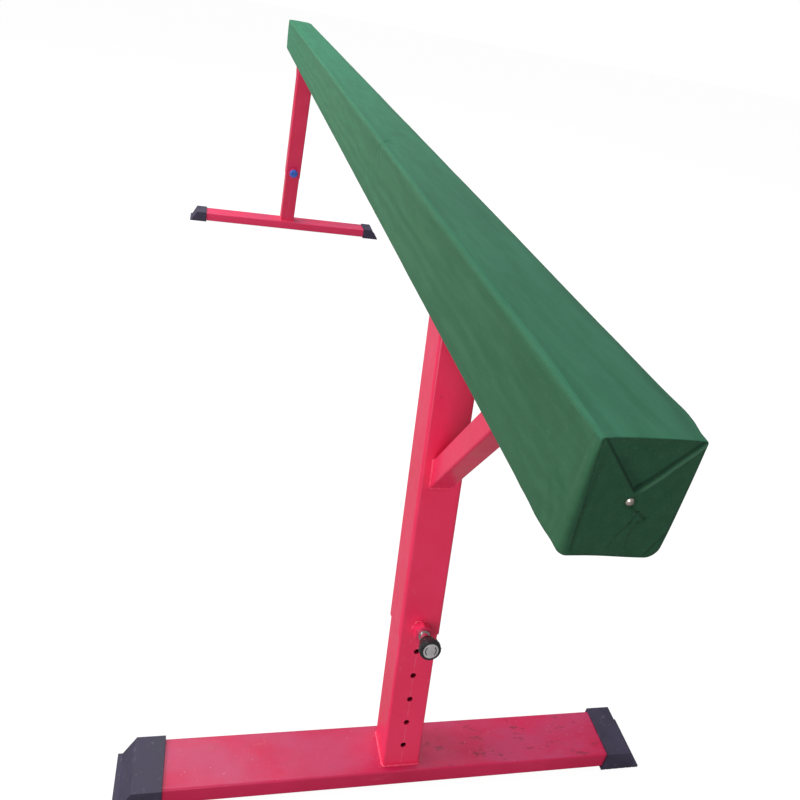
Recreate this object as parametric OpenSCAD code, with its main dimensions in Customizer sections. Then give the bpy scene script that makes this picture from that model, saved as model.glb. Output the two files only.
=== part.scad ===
// Height-adjustable balance beam: a padded, cloth-covered timber beam on two
// leaning telescopic legs, each locked by a spring-loaded pull pin on its outer
// side and steadied by a clamp screw on its inner side.
// +X runs along the beam to its near end, +Z is up, the feet stand on z = 0.
// A place along a leg is measured from the top of its base, up the leaning mast.

/* [Beam] */
// Length of the covered beam
beam_len = 3900; // [3000:50:5000]
// Width of the covered beam
beam_w = 108; // [100:1:120]
// Height of the covered section
beam_h = 138; // [120:1:160]
// Height of the walking surface above the floor
top_height = 998; // [940:1:1100]
// Thickness of the foam layer around the timber
foam_t = 3; // [2:0.5:6]
// Thickness of the cloth cover
cloth_t = 1; // [0.8:0.1:1.5]
// Corner radius of the timber
core_r = 5; // [2:0.5:8]

/* [Legs] */
// Lean of each mast, its foot further out than its top
lean = 14.5; // [8:0.5:18]
// Distance from the beam's end to the foot of the mast
leg_inset = 355; // [320:5:420]
// Side of the outer square tube
outer_tube = 75; // [70:1:80]
// Wall of the outer tube
outer_wall = 2; // [1.5:0.1:2.2]
// Play between the two tubes, on each side
tube_play = 0.5; // [0.3:0.1:0.8]
// Wall of the inner square tube
inner_wall = 3; // [2:0.5:4]
// Length of the inner tube, above the base
inner_len = 520; // [480:10:560]
// Corner radius of the square tubes
tube_r = 6; // [4:0.5:8]
// Place along the leg of the outer tube's lower end
outer_foot = 270; // [262:1:272]

/* [Base] */
// Width of the base tube, along the beam
base_w = 100; // [80:5:120]
// Height of the base tube
base_h = 40; // [30:5:50]
// Painted length of the base tube between the rubber feet
base_len = 850; // [600:10:1000]
// Wall of the base tube
base_wall = 2.5; // [2:0.5:4]
// Corner radius of the base tube
base_r = 4; // [3:0.5:6]

/* [Feet] */
// Rubber under the base tube
sole_t = 5; // [3:0.5:8]
// Rubber around the tube's end
foot_wall = 4; // [3:0.5:6]
// Length of the tube's end inside each foot
foot_grip = 40; // [25:5:60]
// Length of the foot's flat top
foot_top = 50; // [45:1:60]
// How far the sloping end runs out past the top
foot_slope = 25; // [10:1:35]
// How far the sole's lip stands out
foot_lip = 8; // [3:1:12]

/* [Adjustment] */
// Distance between two adjustment holes
hole_pitch = 50; // [40:5:60]
// Number of adjustment holes
hole_count = 7; // [5:1:7]
// Place along the leg of the lowest hole
first_hole = 35; // [30:1:37]
// Which hole the pin stands in, counted from the lowest
hole_in_use = 6; // [6:1:6]
// Diameter of the adjustment holes
hole_d = 10.5; // [9:0.5:12]
// Diameter of the locking pin
pin_d = 9.9; // [8:0.1:10]

/* [Clamp] */
// Place along the leg of the clamp screw
clamp_at = 309; // [300:1:330]
// Diameter of the clamp screw
clamp_d = 10; // [8:1:12]
// Diameter of the clamp screw's knob
clamp_knob_d = 43; // [36:1:46]

/* [Brace] */
// Side of the brace's square tube
brace_side = 40; // [30:1:50]
// Wall of the brace
brace_wall = 2; // [1.5:0.5:3]
// Place along the leg where the brace starts
brace_at = 576; // [540:2:600]
// Steepness of the brace above level
brace_angle = 53.4; // [48:0.2:60]

/* [Hidden] */
$fn = 48;

// Covered section, from the outside in
foam_w = beam_w - 2 * cloth_t;
foam_h = beam_h - 2 * cloth_t;
foam_len = beam_len - 2 * cloth_t;
core_w = foam_w - 2 * foam_t;
core_h = foam_h - 2 * foam_t;
core_len = foam_len - 2 * foam_t;
foam_r = core_r + foam_t;
cloth_r = foam_r + cloth_t;
beam_z = top_height - beam_h / 2;
beam_under = top_height - beam_h;
beam_end = beam_len / 2;

// Leg heights and tube sizes
base_top = sole_t + base_h;
base_x = beam_end - leg_inset;
inner_tube = outer_tube - 2 * outer_wall - 2 * tube_play;
face_outer = tube_play + outer_wall; // outer tube's face, out from the inner tube's
pin_at = first_hole + (hole_in_use - 1) * hole_pitch;
long = 1400; // longer than any mast or brace, before it is cut

// Steel plate under the beam and its coach screws
plate_t = 6;
plate_w = 90;
plate_from = 212; // distances from the beam's end
plate_to = 642;
plate_r = 8;
plate_z = beam_under - plate_t;
screw_rows = [230, 415, 625];
screw_y = 30;
screw_r = 4;
screw_hole_r = 4.5;
screw_depth = 52;
screw_tip = 8;
screw_head_af = 13;
screw_head_h = 5.5;
washer_r = 8.5;
washer_t = 1.6;
snug = 0.05; // clearance of a screw or barrel in its own hole

// Domed tacks at the folded ends of the cover
tack_r = 4.8;
tack_rise = 2.4;
tack_shank_r = 0.9;
tack_len = 14;
tack_tip = 3;
tack_y = 2; // to the left of the middle, seen from outside
tack_drop = 70; // below the walking surface

// Staples that hold the cover's seam under the beam
staple_w = 12;
staple_wire = 0.8;
staple_t = 0.5;
staple_leg = 9;
staple_pitch = 85;
staple_first = 40; // from the beam's end
staple_y = 14;

// Pull-pin parts: distances out from the inner tube's face
boss_af = 28;
boss_len = 20;
barrel_r = 8;
barrel_in = 4.5 + face_outer;
barrel_out = 43;
flange_r = 10;
flange_t = 4;
chamber_r = 6.3;
chamber_end = 28.5;
shaft_r = 3;
shaft_bore = 3.05;
collar_r = 6.15;
collar_from = face_outer + 0.2;
collar_t = 4;
pin_in = 8;
shaft_end = 64;
spring_r = 4.7;
spring_wire = 0.6;
spring_turns = 6;
spring_sides = 8;
spring_steps = 16; // for each turn

// Knobs
knob_from = 44;
knob_len = 26.5;
knob_r = 19;
neck_r = 13;
knob_ribs = 18;
rib_r = 1.6;
disc_r = 13.4;
disc_t = 2;
groove_r = 9.3;
groove_w = 1.8;
groove_depth = 1;

// Clamp screw: distances out from the inner tube's face
clamp_gap = 0.3;
clamp_nut_af = 24;
clamp_nut_len = 8;
clamp_hole_d = clamp_d + 1;
clamp_screw_out = 28;
clamp_tip = 1;
clamp_knob_from = 12;
clamp_knob_len = 22;
clamp_neck_r = 12;
clamp_lobes = 8;
clamp_lobe_r = 5;

// Places the near end's parts at +X, or their mirror image at -X
module at_end(end)
    mirror([end < 0 ? 1 : 0, 0, 0]) children();

// +Z up the mast from the top of the base, +X out towards the beam's end
module at_leg(end)
    at_end(end) translate([base_x, 0, base_top]) rotate([0, -lean, 0]) children();

// +Z out along the locking pin, from the inner tube's outer face
module at_pin(end)
    at_leg(end) translate([inner_tube / 2, 0, pin_at]) rotate([0, 90, 0]) children();

// +Z out along the clamp screw, from the inner tube's inner face
module at_clamp(end)
    at_leg(end) rotate([0, 0, 180]) translate([inner_tube / 2, 0, clamp_at])
        rotate([0, 90, 0]) children();

// Flat rectangle with true round corners
module round_rect(w, h, r) {
    square([w - 2 * r, h], center = true);
    square([w, h - 2 * r], center = true);
    for (x = [-1, 1], y = [-1, 1])
        translate([x * (w / 2 - r), y * (h / 2 - r)]) circle(r);
}

// Tube section, open in the middle
module tube_section(w, h, r, wall)
    difference() {
        round_rect(w, h, r);
        round_rect(w - 2 * wall, h - 2 * wall, max(r - wall, 0.6));
    }

// Bar along X with a rounded section, centred on the beam's axis
module beam_bar(length, w, h, r)
    translate([-length / 2, 0, beam_z]) rotate([90, 0, 90])
        linear_extrude(length) round_rect(w, h, r);

// Everything above a level
module above(z)
    translate([-3000, -200, z]) cube([6000, 400, 2000]);

// ---- Beam ----

// Where the coach screws and the tacks stand
module at_screws(end)
    for (row = screw_rows, side = [-1, 1])
        at_end(end) translate([beam_end - row, side * screw_y, plate_z]) children();

module at_tack(end)
    at_end(end) translate([beam_end, -end * tack_y, top_height - tack_drop])
        rotate([0, 90, 0]) children();

module screw_bores()
    for (end = [1, -1])
        at_screws(end) cylinder(h = plate_t + screw_depth, r = screw_r + snug);

module tack_bores()
    for (end = [1, -1])
        at_tack(end) translate([0, 0, -tack_len]) cylinder(h = tack_len + 1, r = tack_shank_r);

module timber_core()
    color("burlywood") difference() {
        beam_bar(core_len, core_w, core_h, core_r);
        screw_bores();
        tack_bores();
    }

module foam_wrap()
    color("whitesmoke") difference() {
        beam_bar(core_len, foam_w, foam_h, foam_r);
        beam_bar(core_len + 2, core_w, core_h, core_r);
        screw_bores();
    }

module end_pad(end)
    color("whitesmoke") difference() {
        at_end(end) translate([core_len / 2, 0, beam_z]) rotate([90, 0, 90])
            linear_extrude(foam_t) round_rect(foam_w, foam_h, foam_r);
        tack_bores();
    }

module fabric_cover()
    color("seagreen") difference() {
        beam_bar(beam_len, beam_w, beam_h, cloth_r);
        beam_bar(foam_len, foam_w, foam_h, foam_r);
        screw_bores();
        tack_bores();
    }

// Domed head outside the cloth, pointed shank into the timber
module end_tack(end)
    color("goldenrod") at_tack(end) {
        rotate_extrude() intersection() {
            translate([0, tack_rise - dome_radius(tack_r, tack_rise)])
                circle(dome_radius(tack_r, tack_rise));
            square([tack_r, tack_rise]);
        }
        translate([0, 0, -tack_len + tack_tip]) cylinder(h = tack_len - tack_tip, r = tack_shank_r);
        translate([0, 0, -tack_len]) cylinder(h = tack_tip, r1 = 0.1, r2 = tack_shank_r, $fn = 24);
    }

// Radius of the ball that a cap of this rim and rise is cut from
function dome_radius(rim, rise) = (rim * rim + rise * rise) / (2 * rise);

// Two staggered rows, left out where the steel plates lie
module cover_staples()
    color("silver")
        for (i = [0 : floor((beam_len - 2 * staple_first) / staple_pitch)])
            let (x = -beam_end + staple_first + i * staple_pitch,
                 from_end = beam_end - abs(x))
                if (from_end < plate_from - staple_w || from_end > plate_to + staple_w)
                    translate([x, (i % 2 == 0 ? 1 : -1) * staple_y, beam_under - staple_t])
                        staple();

module staple() {
    translate([-staple_w / 2, -staple_wire / 2, 0]) cube([staple_w, staple_wire, staple_t]);
    for (side = [0, 1])
        translate([-staple_w / 2 + side * (staple_w - staple_t), -staple_wire / 2, 0])
            cube([staple_t, staple_wire, staple_leg + staple_t]);
}

// ---- Steel plate and screws under the beam ----

module beam_plate(end)
    color("crimson") difference() {
        at_end(end) translate([beam_end - (plate_from + plate_to) / 2, 0, plate_z])
            linear_extrude(plate_t) round_rect(plate_to - plate_from, plate_w, plate_r);
        at_screws(end) translate([0, 0, -1]) cylinder(h = plate_t + 2, r = screw_hole_r);
    }

// Hexagon head, washer and pointed shank
module plate_screws(end)
    color("silver") at_screws(end) {
        translate([0, 0, -washer_t]) cylinder(h = washer_t, r = washer_r);
        translate([0, 0, -washer_t - screw_head_h])
            cylinder(h = screw_head_h, r = screw_head_af / 2 / cos(30), $fn = 6);
        cylinder(h = plate_t + screw_depth - screw_tip, r = screw_r);
        translate([0, 0, plate_t + screw_depth - screw_tip])
            cylinder(h = screw_tip, r1 = screw_r, r2 = 0.5, $fn = 24);
    }

// ---- Legs ----

module outer_post(end)
    color("crimson") difference() {
        at_leg(end) translate([0, 0, outer_foot])
            linear_extrude(long) tube_section(outer_tube, outer_tube, tube_r, outer_wall);
        above(plate_z);
        at_pin(end) translate([0, 0, -2]) cylinder(h = face_outer + 4, d = hole_d);
        at_clamp(end) translate([0, 0, -2]) cylinder(h = face_outer + 4, d = clamp_hole_d);
    }

// Square tube from the outer tube's face up to the steel plate
module brace(end)
    color("crimson") difference() {
        at_leg(end) translate([outer_tube / 2, 0, brace_at]) rotate([0, 90 - brace_angle + lean, 0])
            translate([0, 0, -brace_side]) linear_extrude(long)
                tube_section(brace_side, brace_side, base_r, brace_wall);
        above(plate_z);
        at_leg(end) translate([-200 + outer_tube / 2, -100, 0]) cube([200, 200, 1000]);
    }

module inner_post(end)
    color("crimson") difference() {
        at_leg(end) translate([0, 0, -inner_tube])
            linear_extrude(inner_len + inner_tube)
                tube_section(inner_tube, inner_tube, tube_r - outer_wall, inner_wall);
        translate([-3000, -200, base_top - 200]) cube([6000, 400, 200]);
        for (i = [0 : hole_count - 1])
            at_pin(end) translate([(pin_at - first_hole - i * hole_pitch), 0, -2 * inner_wall])
                cylinder(h = 3 * inner_wall, d = hole_d);
    }

module base_tube(end)
    color("crimson") at_end(end)
        translate([base_x, base_len / 2 + foot_grip, sole_t + base_h / 2]) rotate([90, 0, 0])
            linear_extrude(base_len + 2 * foot_grip)
                tube_section(base_w, base_h, base_r, base_wall);

// Rubber boot on the end of the base tube, with a sloping nose and a grooved sole
module foot(end, side) {
    y0 = base_len / 2;
    top = base_top + foot_wall;
    nose = y0 + foot_top + foot_slope;
    groove = 2;
    color("dimgray") at_end(end) mirror([0, side < 0 ? 1 : 0, 0]) translate([base_x, 0, 0])
        difference() {
            rotate([90, 0, 90])
                translate([0, 0, -base_w / 2 - foot_wall]) linear_extrude(base_w + 2 * foot_wall)
                    polygon([[y0, 0], [nose + foot_lip, 0], [nose + foot_lip, sole_t],
                             [nose, sole_t], [y0 + foot_top, top], [y0, top]]);
            translate([0, y0 + foot_grip, sole_t + base_h / 2]) rotate([90, 0, 0])
                linear_extrude(foot_grip + 1) round_rect(base_w, base_h, base_r);
            for (i = [0 : 4])
                translate([-base_w, y0 + 10 + i * 15, -groove]) cube([2 * base_w, groove, 1.5 * groove]);
        }
}

// ---- Pull pins ----

// Hexagon boss welded to the outer tube, bored for the barrel
module pin_boss(end)
    color("crimson") at_pin(end) translate([0, 0, face_outer]) difference() {
        cylinder(h = boss_len, r = boss_af / 2 / cos(30), $fn = 6);
        translate([0, 0, -1]) cylinder(h = boss_len + 2, r = barrel_r + snug);
    }

// Plated barrel: spring chamber inside, flange on the boss, bore for the shaft
module pin_barrel(end)
    color("silver") at_pin(end) difference() {
        union() {
            translate([0, 0, barrel_in]) cylinder(h = barrel_out - barrel_in, r = barrel_r);
            translate([0, 0, face_outer + boss_len]) cylinder(h = flange_t, r = flange_r);
        }
        translate([0, 0, barrel_in - 1]) cylinder(h = chamber_end - barrel_in + 1, r = chamber_r);
        cylinder(h = barrel_out + 1, r = shaft_bore);
    }

// Locking pin: thick nose, collar for the spring and a thin shaft to the knob
module lock_pin(end)
    color("lightsteelblue") at_pin(end) rotate_extrude()
        polygon([[0, -pin_in], [pin_d / 2 - 1, -pin_in], [pin_d / 2, -pin_in + 1],
                 [pin_d / 2, collar_from], [collar_r, collar_from],
                 [collar_r, collar_from + collar_t], [shaft_r, collar_from + collar_t],
                 [shaft_r, shaft_end], [0, shaft_end]]);

// Coil spring between the collar and the chamber's end
module pin_spring(end) {
    z0 = collar_from + collar_t + spring_wire + 0.1;
    z1 = chamber_end - spring_wire - 0.1;
    n = spring_turns * spring_steps;
    points = [for (i = [0 : n], j = [0 : spring_sides - 1])
        let (turn = 360 * i / spring_steps, a = 360 * j / spring_sides,
             r = spring_r + spring_wire * cos(a))
            [r * cos(turn), r * sin(turn), z0 + (z1 - z0) * i / n + spring_wire * sin(a)]];
    sides = [for (i = [0 : n - 1], j = [0 : spring_sides - 1])
        let (k = (j + 1) % spring_sides)
            [i * spring_sides + j, (i + 1) * spring_sides + j,
             (i + 1) * spring_sides + k, i * spring_sides + k]];
    first = [for (j = [0 : spring_sides - 1]) j];
    last = [for (j = [spring_sides - 1 : -1 : 0]) n * spring_sides + j];
    color("gray") at_pin(end) polyhedron(points, concat(sides, [first, last]));
}

// Round grip that widens towards its front, with ribs to hold it by
module grip()
    difference() {
        union() {
            rotate_extrude()
                polygon([[0, 0], [neck_r, 0], [neck_r, 4], [knob_r - 1, knob_len - 10],
                         [knob_r - 1, knob_len - 1], [knob_r - 2, knob_len], [0, knob_len]]);
            for (i = [0 : knob_ribs - 1])
                rotate([0, 0, i * 360 / knob_ribs])
                    translate([knob_r - rib_r, 0, knob_len - 12]) cylinder(h = 10, r = rib_r, $fn = 16);
        }
        translate([0, 0, -1]) cylinder(h = shaft_end - knob_from + 2, r = shaft_bore);
    }

module pin_knob(end)
    color("dimgray") at_pin(end) translate([0, 0, knob_from]) difference() {
        grip();
        translate([0, 0, knob_len - disc_t]) cylinder(h = disc_t + 1, r = disc_r + snug);
    }

// Metal disc in the knob's front with two curved grooves
module knob_disc(end)
    color("silver") at_pin(end) translate([0, 0, knob_from + knob_len - disc_t]) difference() {
        cylinder(h = disc_t, r = disc_r);
        translate([0, 0, disc_t - groove_depth]) difference() {
            cylinder(h = groove_depth + 1, r = groove_r + groove_w / 2);
            translate([0, 0, -1]) cylinder(h = groove_depth + 3, r = groove_r - groove_w / 2);
            translate([-20, -6, -1]) cube([40, 12, 4]);
        }
    }

// ---- Clamp screws ----

// Hexagon nut welded to the outer tube over its clearance hole
module clamp_nut(end)
    color("crimson") at_clamp(end) translate([0, 0, face_outer]) difference() {
        cylinder(h = clamp_nut_len, r = clamp_nut_af / 2 / cos(30), $fn = 6);
        translate([0, 0, -1]) cylinder(h = clamp_nut_len + 2, r = clamp_d / 2 + snug);
    }

// Screw that presses on the inner tube, drawn with its tip just clear of it
module clamp_screw(end)
    color("lightsteelblue") at_clamp(end) translate([0, 0, clamp_gap]) {
        cylinder(h = clamp_tip, r1 = clamp_d / 2 - clamp_tip, r2 = clamp_d / 2, $fn = 24);
        translate([0, 0, clamp_tip])
            cylinder(h = clamp_screw_out - clamp_gap - clamp_tip, r = clamp_d / 2);
    }

// Blue knob with finger lobes around its rim
module clamp_knob(end)
    color("royalblue") at_clamp(end) translate([0, 0, clamp_knob_from]) difference() {
        union() {
            rotate_extrude()
                polygon([[0, 0], [clamp_neck_r, 0], [clamp_knob_d / 2 - 3, 6],
                         [clamp_knob_d / 2 - 3, clamp_knob_len - 3],
                         [clamp_knob_d / 2 - 6, clamp_knob_len], [0, clamp_knob_len]]);
            for (i = [0 : clamp_lobes - 1])
                rotate([0, 0, (i + 0.5) * 360 / clamp_lobes])
                    translate([clamp_knob_d / 2 - clamp_lobe_r, 0, 7])
                        cylinder(h = clamp_knob_len - 10, r = clamp_lobe_r);
        }
        translate([0, 0, -1])
            cylinder(h = clamp_screw_out - clamp_knob_from + 1.5, r = clamp_d / 2 + snug);
    }

timber_core();
foam_wrap();
end_pad(1);  // near_end_pad
end_pad(-1);  // far_end_pad
fabric_cover();
end_tack(1);  // near_end_tack
end_tack(-1);  // far_end_tack
cover_staples();
beam_plate(1);  // near_plate
beam_plate(-1);  // far_plate
plate_screws(1);  // near_plate_screws
plate_screws(-1);  // far_plate_screws
outer_post(1);  // near_outer_post
outer_post(-1);  // far_outer_post
brace(1);  // near_brace
brace(-1);  // far_brace
pin_boss(1);  // near_pin_boss
pin_boss(-1);  // far_pin_boss
pin_barrel(1);  // near_pin_barrel
pin_barrel(-1);  // far_pin_barrel
pin_spring(1);  // near_pin_spring
pin_spring(-1);  // far_pin_spring
lock_pin(1);  // near_lock_pin
lock_pin(-1);  // far_lock_pin
pin_knob(1);  // near_knob
pin_knob(-1);  // far_knob
knob_disc(1);  // near_knob_disc
knob_disc(-1);  // far_knob_disc
clamp_nut(1);  // near_clamp_nut
clamp_nut(-1);  // far_clamp_nut
clamp_screw(1);  // near_clamp_screw
clamp_screw(-1);  // far_clamp_screw
clamp_knob(1);  // near_clamp_knob
clamp_knob(-1);  // far_clamp_knob
inner_post(1);  // near_inner_post
inner_post(-1);  // far_inner_post
base_tube(1);  // near_base_tube
base_tube(-1);  // far_base_tube
foot(1, -1);  // near_left_foot
foot(1, 1);  // near_right_foot
foot(-1, -1);  // far_left_foot
foot(-1, 1);  // far_right_foot
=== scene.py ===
import math
import bmesh
import bpy
from mathutils import Matrix, Vector, noise


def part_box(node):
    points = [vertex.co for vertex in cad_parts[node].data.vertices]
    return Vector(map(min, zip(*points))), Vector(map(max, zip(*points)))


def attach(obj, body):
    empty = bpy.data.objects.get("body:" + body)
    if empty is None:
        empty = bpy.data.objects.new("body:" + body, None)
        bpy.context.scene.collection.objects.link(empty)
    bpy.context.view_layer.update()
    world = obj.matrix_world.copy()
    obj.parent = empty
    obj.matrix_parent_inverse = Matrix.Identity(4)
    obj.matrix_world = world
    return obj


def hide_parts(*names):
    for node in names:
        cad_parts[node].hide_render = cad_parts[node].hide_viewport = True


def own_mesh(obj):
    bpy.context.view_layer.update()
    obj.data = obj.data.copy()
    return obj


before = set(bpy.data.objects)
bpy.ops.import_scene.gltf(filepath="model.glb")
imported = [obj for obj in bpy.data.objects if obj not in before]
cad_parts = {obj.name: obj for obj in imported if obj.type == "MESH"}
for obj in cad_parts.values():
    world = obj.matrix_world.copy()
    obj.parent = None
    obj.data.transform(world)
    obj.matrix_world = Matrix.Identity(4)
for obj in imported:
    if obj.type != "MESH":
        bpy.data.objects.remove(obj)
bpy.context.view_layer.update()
mm = 0.001
ends = {"near": 1, "far": -1}
coverLow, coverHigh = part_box("fabric_cover")
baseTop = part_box("near_base_tube")[1].z

# ---- camera, floor and light ----

cameraView = {
    "place": (2.4292, -0.3860, 1.3090),
    "heading": -17.006,  # degrees, turned from straight along the beam
    "tilt": -29.521,
    "roll": 11.410,
    "lens": 33.32,
}


def makeCamera():
    heading, tilt, roll = (math.radians(cameraView[key]) for key in ("heading", "tilt", "roll"))
    skyward = Vector((0, 0, 1))
    ahead = Vector((-math.cos(heading), -math.sin(heading), 0))
    forward = math.cos(tilt) * ahead + math.sin(tilt) * skyward
    level = forward.cross(skyward).normalized()
    upright = level.cross(forward)
    right = math.cos(roll) * level + math.sin(roll) * upright
    up = math.cos(roll) * upright - math.sin(roll) * level
    data = bpy.data.cameras.new("camera")
    data.lens = cameraView["lens"]
    camera = bpy.data.objects.new("camera", data)
    turn = Matrix((right, up, -forward)).transposed().to_4x4()
    camera.matrix_world = Matrix.Translation(cameraView["place"]) @ turn
    bpy.context.scene.collection.objects.link(camera)
    bpy.context.scene.camera = camera


studio = {
    "floorSize": 40.0,
    "floorDrop": 0.5 * mm,
    "floorColour": (0.14, 0.14, 0.14),
    "floorCloud": (0.15, 0.15, 0.15),
    "floorGlow": 0.94,  # keeps the floor nearly white out to where it ends
    "floorBounce": (0.30, 0.29, 0.28),  # what the floor throws back on to the object
    "skySeen": 1.0,
    "skyLight": 0.30,
    # name: place, point aimed at, size, watts, colour
    "lamps": {
        "overheadLamp": ((-1.6, -0.5, 4.2), (0, 0, 0), 4.0, 105, (0.95, 1.0, 1.0)),
        "sideLamp": ((0.2, -4.6, 2.6), (0, 0, 0.5), 3.0, 163, (1.0, 0.98, 0.98)),
        "frontLamp": ((6.0, -1.5, 2.2), (1.7, 0, 0.5), 2.5, 108, (1.0, 0.97, 0.96)),
        "farLamp": ((-3.6, -1.6, 2.6), (-1.9, 0, 0.95), 1.5, 40, (0.96, 1.0, 1.0)),
    },
}


def aimAt(place, target):
    return (Vector(target) - Vector(place)).to_track_quat("-Z", "Y").to_euler()


def makeStudio():
    scene = bpy.context.scene
    scene.view_settings.view_transform = "Standard"
    world = bpy.data.worlds.new("studioSky")
    world.use_nodes = True
    tree = world.node_tree
    direct = addNode(tree, "LightPath").outputs["Is Camera Ray"]
    strength = addThreshold(tree, direct, 0.0, 1.0, studio["skyLight"], studio["skySeen"])
    tree.links.new(strength, tree.nodes["Background"].inputs["Strength"])
    tree.nodes["Background"].inputs["Color"].default_value = (1, 1, 1, 1)
    scene.world = world
    for name, (place, target, size, watts, colour) in studio["lamps"].items():
        data = bpy.data.lights.new(name, "AREA")
        data.shape = "DISK"
        data.size = size
        data.energy = watts
        data.color = colour
        lamp = bpy.data.objects.new(name, data)
        lamp.location = place
        lamp.rotation_euler = aimAt(place, target)
        scene.collection.objects.link(lamp)
    half = studio["floorSize"] / 2
    mesh = bpy.data.meshes.new("floor")
    corners = [(-half, -half, 0), (half, -half, 0), (half, half, 0), (-half, half, 0)]
    mesh.from_pydata(corners, [], [(0, 1, 2, 3)])
    floor = bpy.data.objects.new("floor", mesh)
    floor.location.z = -studio["floorDrop"]
    mesh.materials.append(floorPaper())
    scene.collection.objects.link(floor)


# ---- small tools for materials ----


def startMaterial(name, sockets):
    material = bpy.data.materials.new(name)
    material.use_nodes = True
    shader = material.node_tree.nodes["Principled BSDF"]
    for socket, value in sockets.items():
        shader.inputs[socket].default_value = value
    return material, material.node_tree, shader


def addNode(tree, kind, sockets=None, **settings):
    node = tree.nodes.new("ShaderNode" + kind)
    for setting, value in settings.items():
        setattr(node, setting, value)
    for socket, value in (sockets or {}).items():
        if isinstance(value, bpy.types.NodeSocket):
            tree.links.new(value, node.inputs[socket])
        else:
            node.inputs[socket].default_value = value
    return node


def objectPlace(tree):
    return addNode(tree, "TexCoord").outputs["Object"]


# cloudy grey pattern; stretch above 1 squeezes it along that axis
def addNoise(tree, place, size, detail=4.0, stretch=(1, 1, 1), rough=0.55):
    mapped = addNode(tree, "Mapping", {"Vector": place, "Scale": stretch})
    cloud = addNode(tree, "TexNoise", {
        "Vector": mapped.outputs["Vector"], "Scale": 1 / size, "Detail": detail, "Roughness": rough})
    return cloud.outputs["Fac"]


# bottom where the value is low or less, top where it is high or more
def addThreshold(tree, value, low, high, bottom=0.0, top=1.0):
    node = addNode(tree, "MapRange", {
        "Value": value, "From Min": low, "From Max": high, "To Min": bottom, "To Max": top})
    return node.outputs["Result"]


# each colour is either another node's output or three numbers
def mixColours(tree, factor, first, second, blend="MIX"):
    node = addNode(tree, "Mix", data_type="RGBA", blend_type=blend)
    tree.links.new(factor, node.inputs[0])
    for socket, value in ((6, first), (7, second)):
        if isinstance(value, bpy.types.NodeSocket):
            tree.links.new(value, node.inputs[socket])
        else:
            node.inputs[socket].default_value = (*value, 1)
    return node.outputs[2]


def addMaths(tree, operation, first, second):
    return addNode(tree, "Math", {0: first, 1: second}, operation=operation).outputs[0]


def multiply(tree, first, second):
    return addMaths(tree, "MULTIPLY", first, second)


def splitAxes(tree, place):
    return addNode(tree, "SeparateXYZ", {"Vector": place}).outputs


def addBump(tree, height, strength, depth, under=None):
    node = addNode(tree, "Bump", {"Height": height, "Strength": strength, "Distance": depth})
    if under is not None:
        tree.links.new(under, node.inputs["Normal"])
    return node.outputs["Normal"]


# ---- materials ----


def floorPaper():
    material, tree, shader = startMaterial("floorPaper", {
        "Roughness": 0.9, "Specular IOR Level": 0.0, "Emission Color": (1, 1, 1, 1)})
    cloud = addNoise(tree, objectPlace(tree), 0.8)
    cloudy = addThreshold(tree, cloud, 0.3, 0.7)
    seen = mixColours(tree, cloudy, studio["floorColour"], studio["floorCloud"])
    direct = addNode(tree, "LightPath").outputs["Is Camera Ray"]
    tree.links.new(mixColours(tree, direct, studio["floorBounce"], seen), shader.inputs["Base Color"])
    glow = multiply(tree, direct, studio["floorGlow"])
    tree.links.new(glow, shader.inputs["Emission Strength"])
    return material


clothLook = {
    # the top and side greens stand for the different light on each; the far and middle ones add painted sheen
    "topDeep": (0.034, 0.154, 0.086),
    "topLight": (0.047, 0.196, 0.113),
    "topFarSheen": (0.024, 0.242, 0.122),
    "sideNear": (0.050, 0.150, 0.076),
    "sideMiddleSheen": (0.058, 0.212, 0.102),
    "sideFarSheen": (0.045, 0.234, 0.122),
    # painted shade: the darker green of the wrapped end faces
    "end": (0.026, 0.082, 0.044),
    # painted shade in the creases and folds, and painted highlight on the hem ridge
    "paintedCreaseShade": (0.007, 0.026, 0.016),
    "paintedFoldHighlight": (0.055, 0.150, 0.088),
    # painted highlight along the top left edge
    "paintedEdgeHighlight": (0.085, 0.235, 0.150),
    "thread": (0.020, 0.085, 0.048),
    "fluff": (0.10, 0.24, 0.17),
    "pitch": 1.3 * mm,  # from one thread to the next
    "relief": 0.16 * mm,
    "edgeHighlightStrength": 0.32,
}


# soft stripes across one axis; three sets crossed make the threads
def addBands(tree, place, axis):
    scale = 2 * math.pi / (20 * clothLook["pitch"])
    node = addNode(tree, "TexWave", {
        "Vector": place, "Scale": scale, "Distortion": 0.6, "Detail": 1.0, "Detail Scale": 0.4},
        wave_type="BANDS", bands_direction=axis)
    return node.outputs["Fac"]


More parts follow.
